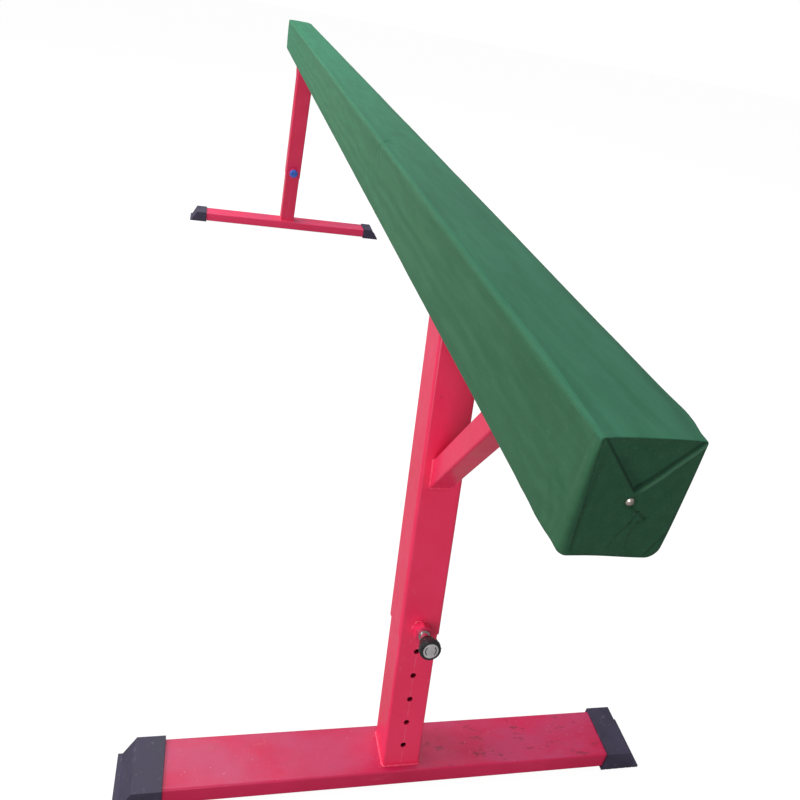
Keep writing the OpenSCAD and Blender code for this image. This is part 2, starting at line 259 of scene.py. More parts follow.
# cloth colours, apart from the wrapped ends: random faded patches, one green for the top and one for the
# sides that stand for the light on each, and painted sheen that makes both lighter towards the far end
def clothColourAndSheen(tree, place, fade):
    parts = splitAxes(tree, place)
    top = mixColours(tree, fade, clothLook["topDeep"], clothLook["topLight"])
    # painted sheen: the top gets lighter towards the far end
    top = mixColours(tree, addThreshold(tree, parts["X"], 1.8, -0.3, 0.0, 0.75), top, clothLook["topFarSheen"])
    # painted sheen: the sides get lighter from the near end to the far one
    sheenNearToMiddle = addThreshold(tree, parts["X"], 1.9, 0.4)
    side = mixColours(tree, sheenNearToMiddle, clothLook["sideNear"], clothLook["sideMiddleSheen"])
    side = mixColours(tree, addThreshold(tree, parts["X"], 0.0, -1.9), side, clothLook["sideFarSheen"])
    side = mixColours(tree, multiply(tree, fade, 0.18), side, clothLook["topDeep"])
    high, left = coverHigh.z, coverLow.y
    # the top and the sides get their own greens, painted for the light that falls on each
    colour = mixColours(tree, addThreshold(tree, parts["Z"], high - 5.5 * mm, high - 1.5 * mm), side, top)
    # painted highlight, broken up, along the edge where the top meets the left side
    line = multiply(tree, addThreshold(tree, parts["Z"], high - 7.5 * mm, high - 4 * mm),
                    addThreshold(tree, parts["Y"], left + 5.5 * mm, left + 3.5 * mm))
    broken = addThreshold(tree, addNoise(tree, place, 0.05, 4), 0.36, 0.60, 0.05, clothLook["edgeHighlightStrength"])
    return mixColours(tree, multiply(tree, line, broken), colour, clothLook["paintedEdgeHighlight"])


def coverCloth():
    material, tree, shader = startMaterial("coverCloth", {
        "Sheen Weight": 0.08, "Sheen Roughness": 0.45, "Sheen Tint": (0.72, 0.95, 0.85, 1),
        "Specular IOR Level": 0.12})
    place = objectPlace(tree)
    bands = [addBands(tree, place, axis) for axis in "XYZ"]
    crossed = addMaths(tree, "ADD", addMaths(tree, "ADD", bands[0], bands[1]), bands[2])
    weave = multiply(tree, crossed, 0.333)
    fade = addThreshold(tree, addNoise(tree, place, 0.35, 3, (0.5, 1, 1)), 0.32, 0.68)
    streak = addThreshold(tree, addNoise(tree, place, 0.014, 3, (0.12, 1, 1)), 0.3, 0.75, 0.0, 0.45)
    slub = addThreshold(tree, addNoise(tree, place, 0.0028, 2, (0.35, 1, 1)), 0.62, 0.74, 0.0, 0.30)
    colour = clothColourAndSheen(tree, place, fade)
    # painted shade of the end faces, spread over the rings that turn over the edge
    ending = addNode(tree, "Attribute", attribute_name="shadedEndPart").outputs["Fac"]
    colour = mixColours(tree, ending, colour, clothLook["end"])
    colour = mixColours(tree, streak, colour, clothLook["fluff"], "SOFT_LIGHT")
    gaps = addThreshold(tree, weave, 0.25, 0.75, 0.45, 0.0)
    colour = mixColours(tree, gaps, colour, clothLook["thread"])
    colour = mixColours(tree, multiply(tree, slub, 0.6), colour, clothLook["fluff"])
    # painted shade in the creases and folds, and painted highlight on the hem ridge, carried by the fold
    # attribute
    shade = addNode(tree, "Attribute", attribute_name="foldShadeAndHighlight").outputs["Fac"]
    colour = mixColours(tree, addThreshold(tree, shade, 0.0, 1.0), colour, clothLook["paintedCreaseShade"])
    colour = mixColours(tree, addThreshold(tree, shade, 0.0, -1.0), colour, clothLook["paintedFoldHighlight"])
    tree.links.new(colour, shader.inputs["Base Color"])
    tree.links.new(addThreshold(tree, fade, 0, 1, 0.76, 0.88), shader.inputs["Roughness"])
    soft = addBump(tree, addNoise(tree, place, 0.02, 3, (0.4, 1, 1)), 0.25, 1.2 * mm)
    tree.links.new(addBump(tree, weave, 0.55, clothLook["relief"], soft), shader.inputs["Normal"])
    return material


paintLook = {
    "deep": (0.86, 0.022, 0.098),
    "bright": (0.94, 0.034, 0.132),
    "baseDeep": (0.60, 0.015, 0.078),
    "baseBright": (0.72, 0.023, 0.110),
    "rub": (0.88, 0.17, 0.26),
    # dust, which also stands in for a painted reflection of the sky on the top faces
    "dustAndSkyReflection": (0.60, 0.060, 0.165),
    "grime": (0.20, 0.03, 0.045),
    "fleck": (0.80, 0.42, 0.50),
    # painted light: a brighter red for the far base
    "farBaseLit": (0.92, 0.050, 0.150),
    "peel": 3.5 * mm,
    "scratchWander": 3 * mm,
}


# dust, scuffs and flecks on top of the base tubes, with painted light: the far base is made brighter, and the
# dust also stands in for a painted reflection of the sky on the top faces
def addFloorWearAndLight(tree, place, colour, dusty):
    parts = splitAxes(tree, place)
    # painted light: the far base is made brighter, as a lamp on it would make it
    farLit = addThreshold(tree, parts["X"], 0.3, -0.3, 0.0, 0.75)
    colour = mixColours(tree, farLit, colour, paintLook["farBaseLit"])
    upward = addThreshold(tree, parts["Z"], baseTop - 1.5 * mm, baseTop - 0.2 * mm)
    # dust on the top faces, which also stands in for the sky's painted reflection there
    dustAndReflectionMask = addThreshold(tree, addNoise(tree, place, 0.07, 5, (1, 0.5, 1)), 0.40, 0.62, 0.0, dusty)
    colour = mixColours(tree, multiply(tree, dustAndReflectionMask, upward), colour, paintLook["dustAndSkyReflection"])
    scrape = addThreshold(tree, addNoise(tree, place, 0.016, 6, (1, 0.35, 1), 0.75), 0.575, 0.63, 0.0, 0.6)
    # scuffed on the side where people step over it
    scrape = multiply(tree, scrape, addThreshold(tree, parts["Y"], 0.02, 0.08, 0.1))
    colour = mixColours(tree, multiply(tree, scrape, upward), colour, paintLook["grime"])
    fleck = addThreshold(tree, addNoise(tree, place, 0.0045, 2), 0.71, 0.75, 0.0, 0.6)
    return mixColours(tree, multiply(tree, fleck, upward), colour, paintLook["fleck"])


# the broken scratch that the lock pin leaves down the middle of a post
def addPinScratch(tree, place, colour, scored):
    wander = multiply(tree, addNoise(tree, place, 0.03, 2), paintLook["scratchWander"])
    centred = addMaths(tree, "SUBTRACT", wander, paintLook["scratchWander"] / 2)
    offset = addMaths(tree, "ABSOLUTE", addMaths(tree, "ADD", splitAxes(tree, place)["Y"], centred), 0)
    broken = addThreshold(tree, addNoise(tree, place, 0.018, 4), 0.42, 0.56, 0.1, scored)
    line = multiply(tree, addThreshold(tree, offset, 0.9 * mm, 0.4 * mm), broken)
    return mixColours(tree, line, colour, paintLook["rub"])


# along is the direction that the scratches run in: a low figure there stretches them
def paintedSteel(name, along, deep, bright, dusty=0.0, scored=0.0):
    material, tree, shader = startMaterial(name, {
        "Coat Weight": 0.10 if dusty else 0.35, "Coat Roughness": 0.30 if dusty else 0.16,
        "Specular IOR Level": 0.30 if dusty else 0.5})
    place = objectPlace(tree)
    cloudy = addThreshold(tree, addNoise(tree, place, 0.16, 4), 0.3, 0.7)
    scratch = addThreshold(tree, addNoise(tree, place, 0.009, 5, along, 0.7), 0.60, 0.72, 0.0, 0.6)
    patch = addThreshold(tree, addNoise(tree, place, 0.11, 2), 0.50, 0.66)
    rub = multiply(tree, scratch, patch)
    spots = addThreshold(tree, addNoise(tree, place, 0.006, 3), 0.70, 0.76, 0.0, 0.5)
    colour = mixColours(tree, cloudy, paintLook[deep], paintLook[bright])
    colour = mixColours(tree, rub, colour, paintLook["rub"])
    if dusty > 0:
        colour = addFloorWearAndLight(tree, place, colour, dusty)
    if scored > 0:
        colour = addPinScratch(tree, place, colour, scored)
    colour = mixColours(tree, spots, colour, paintLook["grime"])
    tree.links.new(colour, shader.inputs["Base Color"])
    rough = addThreshold(tree, addNoise(tree, place, 0.03, 4), 0.3, 0.7, 0.30, 0.46)
    rough = addMaths(tree, "ADD", rough, multiply(tree, rub, 0.2))
    tree.links.new(rough, shader.inputs["Roughness"])
    drips = addBump(tree, addNoise(tree, place, 0.03, 2), 0.25, 0.8 * mm)
    peel = addBump(tree, addNoise(tree, place, paintLook["peel"], 2), 0.30, 0.25 * mm, drips)
    tree.links.new(peel, shader.inputs["Normal"])
    return material


# deep, light and worn colours of each plain part; roughness is its least and most
plainLooks = {
    "foam": {
        "name": "paddingFoam", "roughness": (0.85, 0.95), "grain": 1.6 * mm, "relief": 0.4 * mm,
        "colours": ((0.72, 0.70, 0.62), (0.80, 0.78, 0.71), (0.60, 0.57, 0.48))},
    "brass_tack": {
        "name": "brassTack", "roughness": (0.20, 0.36), "metallic": 1.0, "grain": 0.5 * mm,
        "wearSize": 0.0016,
        "colours": ((0.64, 0.53, 0.46), (0.84, 0.76, 0.70), (0.36, 0.25, 0.20))},
    "staple_wire": {
        "name": "stapleWire", "roughness": (0.3, 0.5), "metallic": 1.0, "wearSize": 0.004,
        "colours": ((0.55, 0.55, 0.56), (0.70, 0.70, 0.71), (0.30, 0.24, 0.19))},
    "zinc_screws": {
        "name": "zincPlate", "roughness": (0.28, 0.46), "metallic": 1.0, "wearSize": 0.004,
        "colours": ((0.52, 0.54, 0.56), (0.68, 0.68, 0.66), (0.40, 0.38, 0.33))},
    "plated_barrel": {
        "name": "platedBarrel", "roughness": (0.12, 0.28), "metallic": 1.0, "wearSize": 0.003,
        "colours": ((0.62, 0.62, 0.63), (0.80, 0.80, 0.80), (0.35, 0.33, 0.31))},
    "spring_wire": {
        "name": "springWire", "roughness": (0.3, 0.45), "metallic": 1.0, "wearSize": 0.002,
        "colours": ((0.35, 0.35, 0.37), (0.48, 0.48, 0.50), (0.22, 0.19, 0.17))},
    "pin_steel": {
        "name": "pinSteel", "roughness": (0.2, 0.38), "metallic": 1.0, "wearSize": 0.003,
        "stretch": (0.2, 1, 1),
        "colours": ((0.50, 0.50, 0.51), (0.62, 0.62, 0.63), (0.30, 0.28, 0.26))},
    "black_grip": {
        "name": "blackGrip", "roughness": (0.28, 0.46), "grain": 0.8 * mm, "wearSize": 0.003,
        "colours": ((0.012, 0.012, 0.014), (0.022, 0.022, 0.026), (0.07, 0.07, 0.075))},
    "blue_grip": {
        "name": "blueGrip", "roughness": (0.22, 0.38), "grain": 0.8 * mm, "wearSize": 0.004,
        "colours": ((0.035, 0.12, 0.60), (0.06, 0.18, 0.72), (0.22, 0.34, 0.80))},
    "disc_metal": {
        "name": "discMetal", "roughness": (0.30, 0.48), "metallic": 0.55, "wearSize": 0.003,
        "colours": ((0.62, 0.60, 0.63), (0.80, 0.78, 0.80), (0.36, 0.34, 0.35))},
    "foot_rubber": {
        "name": "footRubber", "roughness": (0.50, 0.68), "grain": 1.2 * mm, "relief": 0.15 * mm,
        "wearSize": 0.010,
        "colours": ((0.032, 0.025, 0.054), (0.054, 0.044, 0.090), (0.13, 0.11, 0.16))},
}


# cast, drawn or moulded parts: two near colours, a worn one, and a fine grain
def plainFinish(name, colours, roughness, metallic=0.0, grain=0.9 * mm, relief=0.05 * mm, wearSize=0.006,
                stretch=(1, 1, 1)):
    material, tree, shader = startMaterial(name, {"Metallic": metallic})
    place = objectPlace(tree)
    deep, light, worn = colours
    cloudy = addThreshold(tree, addNoise(tree, place, wearSize * 5, 4, stretch), 0.3, 0.7)
    wear = addThreshold(tree, addNoise(tree, place, wearSize, 5, stretch, 0.65), 0.58, 0.72, 0.0, 0.7)
    colour = mixColours(tree, cloudy, deep, light)
    tree.links.new(mixColours(tree, wear, colour, worn), shader.inputs["Base Color"])
    tree.links.new(addThreshold(tree, cloudy, 0, 1, *roughness), shader.inputs["Roughness"])
    bump = addBump(tree, addNoise(tree, place, grain, 3, stretch), 0.4, relief)
    tree.links.new(bump, shader.inputs["Normal"])
    return material


timberLook = {
    "pale": (0.62, 0.42, 0.22),
    "ring": (0.42, 0.24, 0.10),
    "stain": (0.34, 0.18, 0.07),
    "fibre": 0.2 * mm,
}


def timberGrain():
    material, tree, shader = startMaterial("timberGrain", {"Specular IOR Level": 0.3})
    place = objectPlace(tree)
    warped = addNoise(tree, place, 0.09, 4, (0.08, 1, 1))
    rings = addNode(tree, "TexWave", {
        "Vector": place, "Scale": 12.0, "Distortion": 5.0, "Detail": 3.0, "Detail Scale": 0.5},
        wave_type="RINGS", rings_direction="X").outputs["Fac"]
    colour = mixColours(tree, rings, timberLook["pale"], timberLook["ring"])
    stained = addThreshold(tree, warped, 0.45, 0.7, 0.0, 0.5)
    tree.links.new(mixColours(tree, stained, colour, timberLook["stain"]), shader.inputs["Base Color"])
    tree.links.new(addThreshold(tree, rings, 0, 1, 0.55, 0.7), shader.inputs["Roughness"])
    fibre = addNoise(tree, place, 0.002, 3, (0.05, 1, 1))
    tree.links.new(addBump(tree, fibre, 0.4, timberLook["fibre"]), shader.inputs["Normal"])
    return material


def makeFinishes():
    upTheMast = (1, 1, 0.12)
    overTheFloor = (1, 0.12, 1)
    finishes = {
        "cover_cloth": coverCloth(),
        "red_paint": paintedSteel("redEnamel", upTheMast, "deep", "bright"),
        "red_paint_scored": paintedSteel("redEnamelScored", upTheMast, "deep", "bright", scored=0.55),
        "red_paint_cross": paintedSteel("redEnamelBase", overTheFloor, "baseDeep", "baseBright", dusty=0.75),
        "timber": timberGrain(),
    }
    for slotName, look in plainLooks.items():
        finishes[slotName] = plainFinish(**look)
    print("finishes made:", len(finishes))
    return finishes


# ---- small tools for meshes ----


def makePiece(name, points, faces, body, material, smooth=True):
    mesh = bpy.data.meshes.new(name)
    mesh.from_pydata([tuple(point) for point in points], [], faces)
    mesh.validate()
    mesh.materials.append(material)
    mesh.polygons.foreach_set("use_smooth", [smooth] * len(mesh.polygons))
    piece = bpy.data.objects.new(name, mesh)
    bpy.context.scene.collection.objects.link(piece)
    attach(piece, body)
    return piece


# a copy of a CAD part with its sharp edges rounded over
def softCopy(node, name, body, material, edge, segments=2, sharp=28):
    shape = bmesh.new()
    shape.from_mesh(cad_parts[node].data)
    bmesh.ops.remove_doubles(shape, verts=shape.verts, dist=1e-6)
    bmesh.ops.dissolve_limit(shape, angle_limit=math.radians(1), verts=shape.verts, edges=shape.edges)
    limit = math.radians(sharp)
    creases = [line for line in shape.edges if line.is_manifold and line.calc_face_angle() > limit]
    bmesh.ops.bevel(shape, geom=creases, offset=edge, segments=segments, profile=0.5, affect="EDGES",
                    clamp_overlap=True)
    mesh = bpy.data.meshes.new(name)
    shape.to_mesh(mesh)
    shape.free()
    mesh.materials.append(material)
    mesh.polygons.foreach_set("use_smooth", [True] * len(mesh.polygons))
    piece = bpy.data.objects.new(name, mesh)
    bpy.context.scene.collection.objects.link(piece)
    evenShading = piece.modifiers.new("evenShading", "WEIGHTED_NORMAL")
    evenShading.keep_sharp = False
    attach(piece, body)
    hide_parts(node)
    return piece


def smoothStep(value, low, high):
    share = min(max((value - low) / (high - low), 0.0), 1.0)
    return share * share * (3 - 2 * share)


def between(low, high, share):
    return low + (high - low) * share


# ---- cloth cover ----

coverShape = {
    "acrossCells": 120,  # cells over the width of each end
    "downCells": 152,
    "corner": 9.0,
    "topCrown": 1.3,  # how far the padding swells the middle of each face
    "sideCrown": 1.1,
    "seamAt": -20.0,  # where the outer edge of the cloth ends, under the beam
    "seamLap": 40.0,
    "layer": 0.7,
    "cornerZone": 130.0,  # how far from the end its corners change shape
    # corner radii at the ends, seen from outside: top left, top right, bottom right, bottom left
    "nearCorners": (3.0, 3.5, 13.5, 6.5),
    "farCorners": (6.0, 5.0, 11.0, 12.0),
    "roundSteps": 7,
    "rimRings": 3,  # straight rings beside the rounded edge
    "rimGap": 5.0,
    "plainTo": 32.0,  # how far from each end the plain rings stop
    "flat": (0.52, 4.14),
    "paddingCells": (40, 52),
    "paddingSteps": 96,  # from one end to the other
    "paddingInset": 2.6,
    "paddingEndInset": 3.8,
}
beamHalf = coverHigh.x / mm
widthHalf = coverHigh.y / mm
beamTop = coverHigh.z / mm
beamUnder = coverLow.z / mm
beamTall = beamTop - beamUnder


# one side of the section from the middle of one corner to the middle of the next:
# distance along the side, rise over it, and the outward direction
def sideRun(width, first, second, crown, count):
    quarter = math.pi / 4
    straight = width - first - second
    total = quarter * first + straight + quarter * second
    run = []
    for step in range(count + 1):
        gone = total * step / count
        if gone < quarter * first:
            angle = 3 * quarter - gone / first
            place = (first + first * math.cos(angle), first * math.sin(angle) - first)
        elif gone < quarter * first + straight:
            angle = 2 * quarter
            place = (first + gone - quarter * first, 0.0)
        else:
            angle = 2 * quarter - (gone - quarter * first - straight) / second
            place = (width - second + second * math.cos(angle), second * math.sin(angle) - second)
        off = abs(2 * place[0] / width - 1)
        rise = place[1] + crown * max(0.0, 1 - off ** 3) * math.sin(angle)
        run.append((place[0], rise, math.cos(angle), math.sin(angle)))
    return run


# the whole section as a ring of (y, z, outward y, outward z), from the bottom left corner anticlockwise
def sectionRing(corners, across, down, inset=0.0):
    topLeft, topRight, bottomRight, bottomLeft = corners
    left, low = -widthHalf + inset, beamUnder + inset
    right, high = widthHalf - inset, beamTop - inset
    wide, tall = right - left, high - low
    topCrown, sideCrown = coverShape["topCrown"], coverShape["sideCrown"]
    ring = []
    for u, v, a, b in sideRun(wide, bottomLeft, bottomRight, 0.0, across)[:-1]:
        ring.append((left + u, low - v, a, -b))
    for u, v, a, b in sideRun(tall, bottomRight, topRight, sideCrown, down)[:-1]:
        ring.append((right + v, low + u, b, a))
    for u, v, a, b in sideRun(wide, topRight, topLeft, topCrown, across)[:-1]:
        ring.append((right - u, high + v, -a, b))
    for u, v, a, b in sideRun(tall, topLeft, bottomLeft, sideCrown, down)[:-1]:
        ring.append((left - v, high - u, -b, -a))
    return ring


# folds of the cloth at an end, in mm: across to the right of the middle and down from the top
foldShape = {
    "tip": (-3.0, 58.0),  # where the two side flaps meet under the top flap
    "recess": 1.5,
    "pocket": 1.4,
    "flap": 1.7,
    "hem": 2.0,
    "deepest": -3.2,
    # start, end, depth, half width
    "creases": (
        ((1, 75), (20, 88), 1.1, 1.5),
        ((20, 88), (14, 92), 0.7, 1.3),
        ((9, 80), (5, 93), 0.9, 1.7),
        ((5, 93), (-3, 108), 0.7, 1.9),
        ((-3, 108), (-7, 124), 0.5, 2.2),
        ((13, 91), (9, 106), 0.6, 1.6),
        ((9, 106), (12, 124), 0.5, 2.0),
        ((53, 101), (36, 134), 1.3, 2.2),
        ((-46, 26), (-47, 75), 0.7, 4.0),
        ((-47, 75), (-45, 134), 1.0, 3.6),
    ),
    "seamEnd": (-6.0, 124.0),  # lower end of the line where one side flap laps over the other
    "lap": 0.7,
    "cornerFold": ((53, 101), (36, 134)),
    "cornerSlope": 0.16,
    "tack": (-2.0, 70.0),
}


def lineDistance(point, start, end):
    (px, py), (sx, sy), (ex, ey) = point, start, end
    dx, dy = ex - sx, ey - sy
    share = min(max(((px - sx) * dx + (py - sy) * dy) / (dx * dx + dy * dy), 0.0), 1.0)
    return math.hypot(px - sx - share * dx, py - sy - share * dy)


def sideOfLine(point, start, end):
    (px, py), (sx, sy), (ex, ey) = point, start, end
    return ((ex - sx) * (py - sy) - (ey - sy) * (px - sx)) / math.hypot(ex - sx, ey - sy)


# a bell shape: 1 in the middle, nearly 0 at twice its width away
def bell(distance, width):
    return math.exp(-(distance / width) ** 2)


# the top flap, tucked in under the folded edges of the two side flaps
def flapHeight(point, wide, tall):
    across, drop = point
    tip = foldShape["tip"]
    insideLeft = -sideOfLine(point, (-wide, -1.0), tip)  # positive on the top flap
    insideRight = sideOfLine(point, (wide, -1.0), tip)
    towardsTip = min(max(drop / tip[1], 0.0), 1.0)
    inner = min(insideLeft, insideRight)
    flap = 1 - smoothStep(inner, -0.5, 0.7)
    swell = (1 - (across / wide) ** 2) * math.sin(math.pi * min(drop / tall, 1.0))
    height = foldShape["flap"] * flap * (0.25 + 0.75 * swell)
    height -= foldShape["recess"] * (0.5 + 0.5 * towardsTip) * (1 - flap)
    height -= foldShape["pocket"] * towardsTip * bell(insideLeft - 5, 5) * (1 - flap)
    # painted shade along the folded edges and in the pocket beside the left one
    shade = 0.75 * bell(inner - 0.9, 1.3)
    shade += 0.30 * bell(insideLeft - 5, 6) * (1 - flap) * smoothStep(drop, 6, 26)
    if drop < tip[1] + 4:
        height += foldShape["hem"] * bell(insideRight + 3.4, 2.4) * smoothStep(tip[1] + 4 - drop, 0, 8)
        height += 0.7 * bell(insideLeft + 2.2, 1.6) * smoothStep(tip[1] + 2 - drop, 0, 8)
        # painted highlight along the hem of the right flap
        shade -= 0.85 * bell(insideRight + 2.6, 1.7) * smoothStep(tip[1] + 2 - drop, 0, 10)
    return height, shade


# each crease is a groove with a low ridge on both sides, and painted shade along its middle
def creaseHeight(point):
    height = shade = 0.0
    for start, end, depth, half in foldShape["creases"]:
        away = lineDistance(point, start, end)
        dark = min(half, 1.5) if half < 3 else 0.7 * half
        height += 0.55 * depth * bell(away - 2.1 * half, half) - depth * bell(away, half)
        shade += 0.42 * min(depth, 1.0) * bell(away, dark)
    return height, shade


# where the right side flap laps over the left one, and the corner fold low on the right
def lapHeight(point, tall):
    across, drop = point
    tip = foldShape["tip"]
    seamSide = sideOfLine(point, tip, foldShape["seamEnd"])
    overlap = smoothStep(drop, tip[1] + 4, tip[1] + 14) * smoothStep(tall - 6 - drop, 0, 20)
    height = foldShape["lap"] * smoothStep(-seamSide, -0.4, 1.2) * overlap * smoothStep(26 + seamSide, 0, 20)
    pastFold = max(0.0, -sideOfLine(point, *foldShape["cornerFold"]))
    cornerShare = smoothStep(across, 20, 36) * smoothStep(drop, 96, 106)
    return height - foldShape["cornerSlope"] * pastFold * cornerShare


# height of the cloth over the flat of the end, and the painted shade of its creases and folds there, painted
# highlight where it is below zero
def foldHeight(across, drop, wide, tall):
    point = (across, drop)
    flapRise, flapShade = flapHeight(point, wide, tall)
    creaseRise, creaseShade = creaseHeight(point)
    height = flapRise + creaseRise + lapHeight(point, tall)
    height += 0.6 * noise.noise(Vector((across / 17, drop / 15, 3.1)))
    height += 0.35 * noise.noise(Vector((across / 6, drop / 9, 8.4)))
    # drawn in round the tack
    besideTack, underTack = across - foldShape["tack"][0], drop - foldShape["tack"][1]
    away = math.hypot(besideTack, underTack)
    height += 0.4 * math.cos(5 * math.atan2(underTack, besideTack) + 0.6) * bell(away - 11, 6)
    pressed = math.exp(-(away / 6.0) ** 4)
    height = height * (1 - pressed) - 0.3 * pressed
    # painted shade of the flaps and creases, and a ring of it round the tack
    shade = flapShade + creaseShade + 0.35 * bell(away - 5.6, 1.8)
    return max(height, foldShape["deepest"]), min(max(shade, -0.85), 0.85)


# radii of the cloth where it turns over an end's edges, in mm
edgeShape = {
    "top": 1.4,
    "lowLeft": 9.5,
    "lowRight": 5.0,
    "under": 4.5,
}


# how far the cloth over the end's edge is rounded, sideways and up or down, at a height on the end
def endRounding(down, sideways):
    share = min(max(down / beamTall, 0.0), 1.0)
    leftEdge = between(edgeShape["top"], edgeShape["lowLeft"], share ** 0.7)
    rightEdge = between(edgeShape["top"], edgeShape["lowRight"], share)
    aside = between(leftEdge, rightEdge, smoothStep(sideways, -0.3, 0.3))
    upright = between(edgeShape["top"], edgeShape["under"], share)
    return aside, upright


# slack and pull marks in the cloth along the beam, in mm
sideMarks = {
    "slack": 0.45,
    "pinchAt": 840.0,
    "pinchDepth": 2.0,
    "endPleats": 0.6,
    "sag": 3.8,
    "fullRight": 9.0,  # how much wider the padding makes the beam between its ends
    "fullLeft": 4.0,
    "drawnIn": 54.0,  # how far from the end the padding is full again
}


def slackAt(x, y, z, outY):
    place = Vector((x / 210, y / 60, z / 60))
    slack = sideMarks["slack"] * noise.noise(place)
    slack += 0.25 * noise.noise(Vector((x / 38, y / 33 + 7, z / 33)))
    edge = Vector((y + widthHalf, z - beamTop))
    away = math.hypot((x - sideMarks["pinchAt"]) / 26, edge.length / 34)
    angle = math.atan2(edge.length, x - sideMarks["pinchAt"])
    slack -= sideMarks["pinchDepth"] * math.exp(-away * away) * (0.55 + 0.45 * math.cos(6 * angle))
    fromEnd = beamHalf - abs(x)
    if fromEnd < 220 and outY < -0.5 and x > 0:
        drape = math.sin(fromEnd / 7.5 + 2.2 * noise.noise(Vector((z / 45, x / 90, 4.0))))
        slack += 0.35 * drape * math.exp(-fromEnd / 110)
    if fromEnd < 90:
        pleats = math.sin(fromEnd / 4.2 + 1.3 * noise.noise(Vector((y / 30, z / 40, 2.0))))
        slack += sideMarks["endPleats"] * pleats * math.exp(-fromEnd / 30) * abs(outY)
    return slack


# places of the plain rings: close together near the ends and at the pinch
def stationList():
    reach = beamHalf - coverShape["plainTo"]
    places = [-reach]
    pinch = sideMarks["pinchAt"]
    while places[-1] < reach:
        here = places[-1]
        fromEnd = min(here + beamHalf, beamHalf - here)
        step = between(2.0, 24.0, smoothStep(fromEnd, 20, 160))
        step = min(step, between(3.0, 24.0, smoothStep(abs(here - pinch), 50, 150)))
        places.append(places[-1] + step)
    scale = 2 * reach / (places[-1] + reach)
    return [(place + reach) * scale - reach for place in places]


def evenStations():
    reach = beamHalf - coverShape["plainTo"]
    steps = coverShape["paddingSteps"]
    return [between(-reach, reach, step / steps) for step in range(steps + 1)]


def cornersAt(x):
    plain = (coverShape["corner"],) * 4
    ending = coverShape["nearCorners"] if x > 0 else coverShape["farCorners"]
    share = smoothStep(coverShape["cornerZone"] - (beamHalf - abs(x)), 0, coverShape["cornerZone"])
    if x < 0:  # the far end is seen from the other side, so its left is +Y
        topLeft, topRight, bottomRight, bottomLeft = ending
        ending = (topRight, topLeft, bottomLeft, bottomRight)
    return tuple(between(a, b, share) for a, b in zip(plain, ending))


# points of the cloth around one end, from the last straight ring over the edge to the flat of the end
def endRings(side, across, down, inset=0.0, endInset=0.0):
    last = side * (beamHalf - endInset)
    base = sectionRing(cornersAt(side * beamHalf), across, down, inset)
    middle = (beamTop + beamUnder) / 2
    rings = []
    steps = coverShape["roundSteps"]
    for step in range(-coverShape["rimRings"], steps + 1):
        angle = math.pi / 2 * max(step, 0) / steps
        pull = 1 - math.cos(angle)
        ring = []
        for y, z, outY, outZ in base:
            aside, upright = endRounding(beamTop - z, side * y / widthHalf)
            back = math.hypot(aside * outY, upright * outZ) * (1 - math.sin(angle))
            back += max(-step, 0) * coverShape["rimGap"]
            x = last - side * back
            slack = slackAt(x, y, z, outY) * math.cos(angle) if endInset == 0 else 0.0
            narrow = 1 - aside / widthHalf * pull
            lower = 1 - upright / (beamTall / 2) * pull
            ring.append((x, y * narrow + outY * slack, middle + (z - middle) * lower + outZ * slack))
        rings.append(ring)
    return rings


# the flat of an end: a grid that meets the last ring all the way round
def endGrid(side, ring, across, down, folds):
    shades = []
    bottom = ring[:across + 1]
    rightSide = ring[across:across + down + 1]
    top = ring[across + down:2 * across + down + 1][::-1]
    leftSide = (ring[2 * across + down:] + ring[:1])[::-1]
    grid = []
    for row in range(down + 1):
        v = row / down
        line = []
        for column in range(across + 1):
            u = column / across
            spot = []
            for axis in (1, 2):
                ruled = (1 - v) * bottom[column][axis] + v * top[column][axis]
                ruled += (1 - u) * leftSide[row][axis] + u * rightSide[row][axis]
                flat = (1 - u) * (1 - v) * bottom[0][axis] + u * (1 - v) * bottom[-1][axis]
                flat += (1 - u) * v * top[0][axis] + u * v * top[-1][axis]
                spot.append(ruled - flat)
            y, z = spot
            x = bottom[0][0]
            shade = 0.0
            if folds:
                edge = min(column, across - column, row, down - row)
                lift, shade = foldHeight(side * y, beamTop - z, widthHalf - 2, beamTall)
                x += side * lift * smoothStep(edge, 0, 4)
            line.append((x, y, z))
            if 0 < row < down and 0 < column < across:
                shades.append(shade)
        grid.append(line)
    return grid, shades


# the bulky fold that hangs lowest, at the near end's bottom right corner
def cornerSag(x, y, z):
    along = smoothStep(x, beamHalf - 90, beamHalf - 20)
    return sideMarks["sag"] * along * smoothStep(y, -30, 45) * smoothStep(beamTop - z, 60, beamTall)


# how much fuller the padding is between the ends, where the wrapped ends don't draw it in
def fullness(x, y, z):
    full = smoothStep(beamHalf - abs(x), 0, sideMarks["drawnIn"])
    right = sideMarks["fullRight"] * smoothStep(y, -20, widthHalf)
    left = sideMarks["fullLeft"] * smoothStep(beamTop - z, 40, beamTall) * smoothStep(-y, 20, widthHalf)
    return (right - left) * full


# cloth or padding while it is put together; points are in mm
def startSleeve(across, down):
    return {"points": [], "faces": [], "shades": [], "ending": [], "across": across, "down": down}


def addRing(skin, ring, share=0.0):
    first = len(skin["points"])
    skin["points"].extend(ring)
    skin["ending"].extend([share] * len(ring))
    return list(range(first, first + len(ring)))


def addPlainRings(skin, stations, inset, seam):
    rows = []
    for x in stations:
        ring = []
        for y, z, outY, outZ in sectionRing(cornersAt(x), skin["across"] // 2, skin["down"] // 2, inset):
            slack = slackAt(x, y, z, outY) if seam else 0.0
            if z < beamUnder + 3:
                slack *= 0.3
            ring.append((x, y + outY * slack, z + outZ * slack))
        rows.append(addRing(skin, ring))
    return rows


